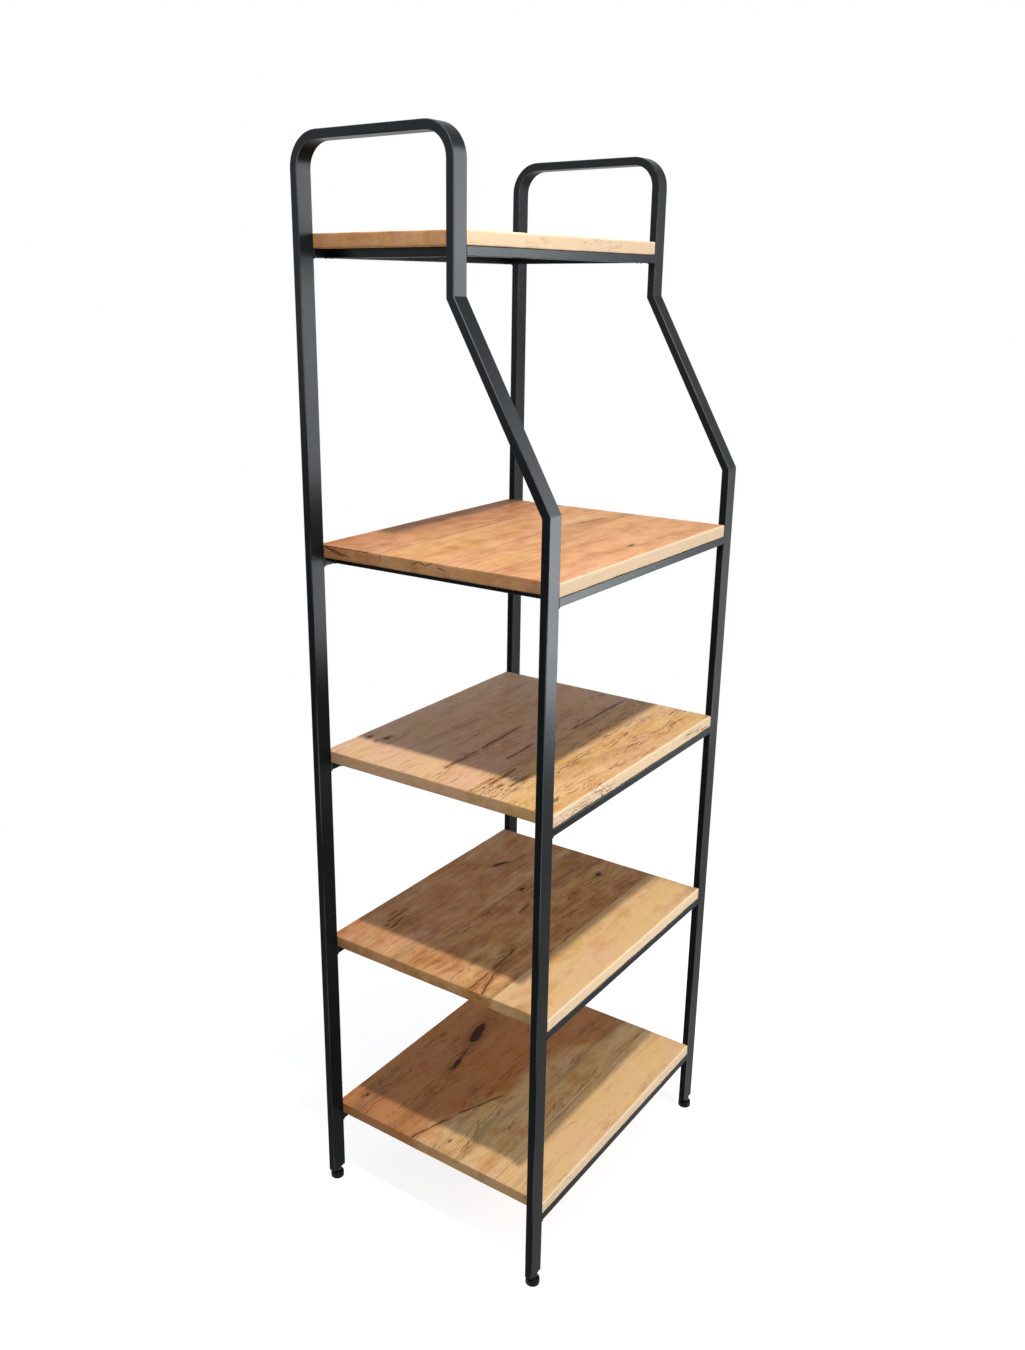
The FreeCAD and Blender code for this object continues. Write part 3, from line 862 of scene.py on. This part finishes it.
class RACK_OT_frame(bpy.types.Operator):
    """Powder coat the tubes, rails and cross bars"""
    bl_idname = "rack.coat_frame"
    bl_label = "Frame"

    def execute(self, context):
        coat = powder_coat(context.scene.rack_steel)
        for name in (*TUBES, *BARS):
            dress(name, coat)
        return {"FINISHED"}


def weld_lines():
    """The corners that hold a weld bead: under and behind each rail's ends, beside each cross bar's ends."""
    made = []
    for shelf in SHELVES:
        for row in ("front", "back"):
            low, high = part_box(f"{shelf}_{row}_rail")
            inner_y = high.y if row == "front" else low.y
            for x in (low.x, high.x):
                made.append(((x, low.y, low.z), (x, high.y, low.z)))
                made.append(((x, inner_y, low.z), (x, inner_y, high.z)))
            for side in SIDES:
                bar_low, bar_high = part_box(f"{shelf}_{side}_cross_bar")
                for x in (bar_low.x, bar_high.x):
                    made.append(((x, inner_y, low.z), (x, inner_y, high.z)))
    return made


def weld_tree():
    """Rippled beads along the edges of a mesh: flattened drops, close together, one after another."""
    tree = bpy.data.node_groups.new("weld beads", "GeometryNodeTree")
    for label, kind in (("Runs", "Geometry"), ("Bead Radius", "Float"), ("Ripple Pitch", "Float"),
                        ("Seed", "Int"), ("Finish", "Material")):
        tree.interface.new_socket(label, in_out="INPUT", socket_type="NodeSocket" + kind)
    tree.interface.new_socket("Beads", in_out="OUTPUT", socket_type="NodeSocketGeometry")
    given = node(tree, "NodeGroupInput", output=None)
    runs = node(tree, "GeometryNodeMeshToCurve", {"Mesh": given["Runs"]})
    drops = node(
        tree, "GeometryNodeResampleCurve", {"Curve": runs, "Length": given["Ripple Pitch"]}, mode="LENGTH")
    drop = node(tree, "GeometryNodeMeshIcoSphere", {"Radius": given["Bead Radius"], "Subdivisions": 2})
    size = node(tree, "FunctionNodeRandomValue", {
        "Min_001": 0.82, "Max_001": 1.08, "Seed": given["Seed"]}, 1, data_type="FLOAT")
    turn = node(tree, "FunctionNodeAlignRotationToVector", {
        "Vector": node(tree, "GeometryNodeInputTangent")}, axis="Z")
    flat = node(tree, "ShaderNodeCombineXYZ", {0: size, 1: size, 2: 0.6})
    beads = node(tree, "GeometryNodeInstanceOnPoints", {
        "Points": drops, "Instance": drop, "Rotation": turn, "Scale": flat})
    beads = node(tree, "GeometryNodeRealizeInstances", {"Geometry": beads})
    beads = node(tree, "GeometryNodeSetShadeSmooth", {"Geometry": beads})
    beads = node(tree, "GeometryNodeSetMaterial", {"Geometry": beads, "Material": given["Finish"]})
    node(tree, "NodeGroupOutput", {0: beads}, None)
    return tree


class RACK_OT_welds(bpy.types.Operator):
    """Lay the weld beads in the corners of the rails and cross bars"""
    bl_idname = "rack.make_welds"
    bl_label = "Welds"

    def execute(self, context):
        steel = context.scene.rack_steel
        runs = weld_lines()
        mesh = bpy.data.meshes.new("weld_runs")
        ends = [end for run in runs for end in run]
        edges = [(first, first + 1) for first in range(0, len(ends), 2)]
        mesh.from_pydata(ends, edges, [])
        maker = new_object("weld_runs", mesh)
        modifier = maker.modifiers.new("weld beads", "NODES")
        modifier.node_group = weld_tree()
        values = {
            "Bead Radius": steel.bead, "Ripple Pitch": steel.ripple, "Seed": WELD_SEED,
            "Finish": bpy.data.materials["black powder coat"]}
        for item in modifier.node_group.interface.items_tree:
            if item.name in values:
                modifier[item.identifier] = values[item.name]
        evaluated = maker.evaluated_get(context.evaluated_depsgraph_get())
        beads = new_object("weld_beads", bpy.data.meshes.new_from_object(evaluated))
        maker.modifiers.clear()
        bpy.data.objects.remove(maker)
        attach(beads, "frame")
        return {"FINISHED"}


def stem_mesh(name, low, high, glides):
    """A glide's stem as one closed skin of rings: captive head, neck, chamfered hexagon and a stud whose
    radius follows the thread's helix."""
    turn = np.arange(glides.sides) / glides.sides
    corner_radius = (high.x - low.x) / 2
    flat_radius = corner_radius * math.cos(math.radians(30))
    hexagon = flat_radius / np.cos(np.radians((360 * turn) % 60 - 30))
    hexagon_end = 0.97 * flat_radius
    cut = glides.chamfer
    head_top = low.z + glides.head_height
    stud_base = high.z - glides.stud_length
    neck_top = stud_base - glides.hexagon_height
    rings = [
        (low.z, glides.head_radius - cut), (low.z + cut, glides.head_radius),
        (head_top - cut, glides.head_radius), (head_top, glides.head_radius - cut),
        (head_top, glides.neck_radius), (neck_top, glides.neck_radius), (neck_top, hexagon_end),
        (neck_top + cut, hexagon), (stud_base - cut, hexagon), (stud_base, hexagon_end),
    ]
    root = glides.stud_radius - glides.thread_depth
    for z in np.arange(stud_base, high.z, glides.pitch / RINGS_PER_TURN):
        # The ridge has a flat crest and a flat root, and it fades out at both ends of the stud
        phase = (z / glides.pitch - turn) % 1
        ridge = np.clip(1.7 * np.abs(2 * phase - 1) - 0.35, 0, 1)
        starts = np.clip((z - stud_base) / glides.pitch, 0, 1)
        ends = np.clip((high.z - cut - z) / glides.pitch, 0, 1)
        rings.append((z, root + glides.thread_depth * ridge * (starts * ends)))
    rings.append((high.z, root - cut / 2))
    centre_x, centre_y = (low.x + high.x) / 2, (low.y + high.y) / 2
    points = []
    for z, radius in rings:
        for share, reach in zip(turn, np.broadcast_to(radius, turn.shape)):
            way = math.tau * share
            points.append((centre_x + reach * math.cos(way), centre_y + reach * math.sin(way), z))
    count = glides.sides
    faces = [tuple(range(count))[::-1], tuple(range(len(points) - count, len(points)))]
    for ring in range(len(rings) - 1):
        for side in range(count):
            first, second = ring * count + side, ring * count + (side + 1) % count
            faces.append((first, second, second + count, first + count))
    mesh = bpy.data.meshes.new(name)
    mesh.from_pydata(points, [], faces)
    return mesh


class RACK_OT_glides(bpy.types.Operator):
    """Make the threaded glide stems and finish the pads and plugs"""
    bl_idname = "rack.make_glides"
    bl_label = "Glides"

    def execute(self, context):
        glides = context.scene.rack_glides
        oxide = black_oxide(glides)
        plastic = moulded_plastic(glides)
        for corner in CORNERS:
            mesh = stem_mesh(corner + "_threaded_stem", *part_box(corner + "_glide_stem"), glides)
            mesh.materials.append(oxide)
            stem = new_object(corner + "_threaded_stem", mesh)
            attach(stem, corner + "_glide_stem")
            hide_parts(corner + "_glide_stem")
            dress(corner + "_glide_pad", plastic)
            dress(corner + "_leg_plug", plastic)
        return {"FINISHED"}


class RACK_OT_screws(bpy.types.Operator):
    """Blacken the screws that hold the boards"""
    bl_idname = "rack.blacken_screws"
    bl_label = "Screws"

    def execute(self, context):
        oxide = bpy.data.materials["black oxide steel"]
        for shelf in SHELVES:
            dress(shelf + "_board_screws", oxide)
        return {"FINISHED"}


def seen_directly(tree):
    """1 where the camera looks at a surface, straight or in a reflection, and 0 for other light."""
    rays = node(tree, "ShaderNodeLightPath", output=None)
    return node(tree, MATH, {0: rays["Is Camera Ray"], 1: rays["Is Glossy Ray"]}, operation="MAXIMUM")


def studio_floor(stage):
    """A pale matt studio floor: it keeps the rack's shadow and fades to plain white further away."""
    material, tree = new_material("pale studio floor")
    seen = seen_directly(tree)
    radius = node(tree, VECTOR, {0: node(tree, PLACE, output="Object")}, "Value", operation="LENGTH")
    far = node(tree, RANGE, {"Value": radius, "From Min": stage.floor_near, "From Max": stage.floor_far},
               interpolation_type="SMOOTHSTEP")
    far = node(tree, MATH, {0: far, 1: seen}, operation="MULTIPLY")
    lift = node(tree, MATH, {0: seen, 1: stage.floor_lift}, operation="MULTIPLY")
    matt = node(tree, "ShaderNodeBsdfDiffuse", {"Color": opaque(stage.floor)})
    lifted = node(tree, "ShaderNodeEmission", {"Strength": lift})
    near = node(tree, "ShaderNodeAddShader", {0: matt, 1: lifted})
    white = node(tree, "ShaderNodeEmission", {"Strength": 1.0})
    node(tree, SURFACE, {"Surface": node(tree, "ShaderNodeMixShader", {0: far, 1: near, 2: white})}, None)
    return material


def studio_world(stage):
    """Soft light, strongest from above, and plain white behind the rack."""
    world = bpy.data.worlds.new("soft light from above")
    world.use_nodes = True
    tree = world.node_tree
    tree.nodes.clear()
    seen = seen_directly(tree)
    rise = node(tree, "ShaderNodeSeparateXYZ", {0: node(tree, PLACE, output="Generated")}, "Z")
    soft = node(tree, RANGE, {"Value": rise, "To Min": stage.horizon, "To Max": stage.zenith})
    strength = node(tree, MIX, {"Factor_Float": seen, "A_Float": soft, "B_Float": 1.0})
    colour = node(tree, MIX, {
        "Factor_Float": seen, "A_Color": opaque(stage.sky_colour), "B_Color": (1, 1, 1, 1)},
        MIXED_COLOUR, data_type="RGBA")
    light = node(tree, "ShaderNodeBackground", {"Color": colour, "Strength": strength})
    node(tree, "ShaderNodeOutputWorld", {"Surface": light}, None)
    return world


def lay_floor(stage):
    """Lay the floor, one large square."""
    half = stage.floor_reach
    corners = [(-half, -half, 0), (half, -half, 0), (half, half, 0), (-half, half, 0)]
    mesh = bpy.data.meshes.new("floor")
    mesh.from_pydata(corners, [], [(0, 1, 2, 3)])
    mesh.materials.append(studio_floor(stage))
    new_object("floor", mesh)


def hang_ceiling_lamp(stage):
    """Hang the small lamp that throws the shadow of each board on the next."""
    lamp = bpy.data.lights.new("ceiling lamp", "POINT")
    lamp.energy = stage.ceiling_lamp_power
    lamp.shadow_soft_size = stage.ceiling_lamp_radius
    lamp.color = stage.lamp_colour
    ceiling_lamp = new_object("ceiling_lamp", lamp)
    ceiling_lamp.location = stage.ceiling_lamp_place
    # Thin tubes cast no shadow that shows in such light, and the broad boards do
    unshaded = bpy.data.collections.new("no shadow from the ceiling lamp")
    for name in TUBES:
        unshaded.objects.link(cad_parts[name])
    for member in unshaded.collection_objects:
        member.light_linking.link_state = "EXCLUDE"
    ceiling_lamp.light_linking.blocker_collection = unshaded


def stand_panels(stage):
    """Stand up the two panels. Only the coat mirrors them: on the boards they would lie as a white haze."""
    mirrors = bpy.data.collections.new("coat that mirrors the panels")
    for name in (*TUBES, *BARS):
        mirrors.objects.link(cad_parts[name])
    for name, place, size, power in (
        ("front_panel", stage.front_panel_place, stage.front_panel_size, stage.front_panel_power),
        ("side_panel", stage.side_panel_place, stage.side_panel_size, stage.side_panel_power),
    ):
        glow = bpy.data.lights.new(name, "AREA")
        glow.shape = "RECTANGLE"
        glow.size, glow.size_y = size
        glow.energy = power
        glow.color = stage.panel_colour
        panel = new_object(name, glow)
        panel.location = place
        inward = Vector((-place[0], -place[1], 0))
        panel.rotation_euler = inward.to_track_quat("-Z", "Y").to_euler()
        panel.visible_diffuse = False
        panel.light_linking.receiver_collection = mirrors


def stand_front_lamp(stage):
    """Stand up the soft lamp that lights the boards' front edges."""
    lamp = bpy.data.lights.new("front lamp", "AREA")
    lamp.size = stage.front_lamp_size
    lamp.energy = stage.front_lamp_power
    lamp.color = stage.lamp_colour
    front_lamp = new_object("front_lamp", lamp)
    front_lamp.location = stage.front_lamp_place
    front_lamp.rotation_euler = Vector((0, 1, 0)).to_track_quat("-Z", "Z").to_euler()
    front_lamp.visible_glossy = False


def aimed_camera(stage):
    """A camera at its place, turned and shifted so that the view axis meets its pixel."""
    ahead = Vector((
        math.sin(stage.heading) * math.cos(stage.tilt), math.cos(stage.heading) * math.cos(stage.tilt),
        -math.sin(stage.tilt)))
    level = Vector((math.cos(stage.heading), -math.sin(stage.heading), 0))
    upward = level.cross(ahead)
    right = level * math.cos(stage.roll) + upward * math.sin(stage.roll)
    up = upward * math.cos(stage.roll) - level * math.sin(stage.roll)
    data = bpy.data.cameras.new("camera")
    data.lens = stage.focal / IMAGE_HEIGHT * data.sensor_width
    data.shift_x = (IMAGE_WIDTH / 2 - stage.axis_pixel[0]) / IMAGE_HEIGHT
    data.shift_y = (stage.axis_pixel[1] - IMAGE_HEIGHT / 2) / IMAGE_HEIGHT
    camera = new_object("camera", data)
    turned = Matrix((right, up, -ahead)).transposed().to_4x4()
    camera.matrix_world = Matrix.Translation(stage.camera_place) @ turned
    return camera


class RACK_OT_stage(bpy.types.Operator):
    """Set up the floor, the light and the camera"""
    bl_idname = "rack.make_stage"
    bl_label = "Stage"

    def execute(self, context):
        scene = context.scene
        stage = scene.rack_stage
        scene.view_settings.view_transform = "Standard"
        scene.world = studio_world(stage)
        lay_floor(stage)
        hang_ceiling_lamp(stage)
        stand_panels(stage)
        stand_front_lamp(stage)
        scene.camera = aimed_camera(stage)
        return {"FINISHED"}


OPERATORS = (
    RACK_OT_stage, RACK_OT_boards, RACK_OT_frame, RACK_OT_welds, RACK_OT_glides, RACK_OT_screws)
GROUPS = {"rack_wood": RackWood, "rack_steel": RackSteel, "rack_glides": RackGlides, "rack_stage": RackStage}


class RACK_PT_panel(bpy.types.Panel):
    """The rack's pieces, and the sizes and colours that can be changed"""
    bl_idname = "RACK_PT_panel"
    bl_label = "Kitchen rack"
    bl_space_type = "VIEW_3D"
    bl_region_type = "UI"
    bl_category = "Rack"

    def draw(self, context):
        for operator in OPERATORS:
            self.layout.operator(operator.bl_idname)
        for name, group in GROUPS.items():
            box = self.layout.box()
            for label in group.__annotations__:
                box.prop(getattr(context.scene, name), label)


def register():
    """Make the property groups, the operators and the panel known to Blender."""
    for name, group in GROUPS.items():
        bpy.utils.register_class(group)
        setattr(bpy.types.Scene, name, bpy.props.PointerProperty(type=group))
    for kind in (*OPERATORS, RACK_PT_panel):
        bpy.utils.register_class(kind)


def unregister():
    """Take them away again."""
    for kind in (RACK_PT_panel, *reversed(OPERATORS)):
        bpy.utils.unregister_class(kind)
    for name, group in GROUPS.items():
        delattr(bpy.types.Scene, name)
        bpy.utils.unregister_class(group)


def main():
    """Make every piece."""
    register()
    bpy.ops.rack.make_stage()
    bpy.ops.rack.make_boards()
    bpy.ops.rack.coat_frame()
    bpy.ops.rack.make_welds()
    bpy.ops.rack.make_glides()
    bpy.ops.rack.blacken_screws()


if __name__ == "__main__":
    main()
